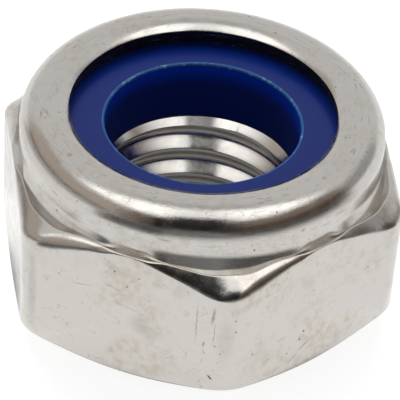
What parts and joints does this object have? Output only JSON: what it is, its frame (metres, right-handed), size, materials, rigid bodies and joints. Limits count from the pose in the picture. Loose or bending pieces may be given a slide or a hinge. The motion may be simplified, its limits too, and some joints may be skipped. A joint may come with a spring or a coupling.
{
  "type": "nylon insert lock nut",
  "caption": "Hexagon lock nut of stainless steel with a blue nylon ring held under a rolled-over rim, for a standard metric screw",
  "frame": {"origin": "centre of the bearing face, on the axis of the thread", "axes": "+Z along the thread's axis from the bearing face to the rolled rim; +X through a corner of the hexagon; +Y square to a flat"},
  "size_m": [0.0192, 0.017, 0.0097],
  "materials": {
    "stainless_steel": "cold-formed stainless steel, tumbled, with fine pits and scratches",
    "blue_nylon": "deep blue polyamide, slightly glossy and a little translucent at its edge"
  },
  "bodies": {
    "root": {"nut_body": "stainless_steel", "nylon_insert": "blue_nylon"}
  },
  "joints": []
}
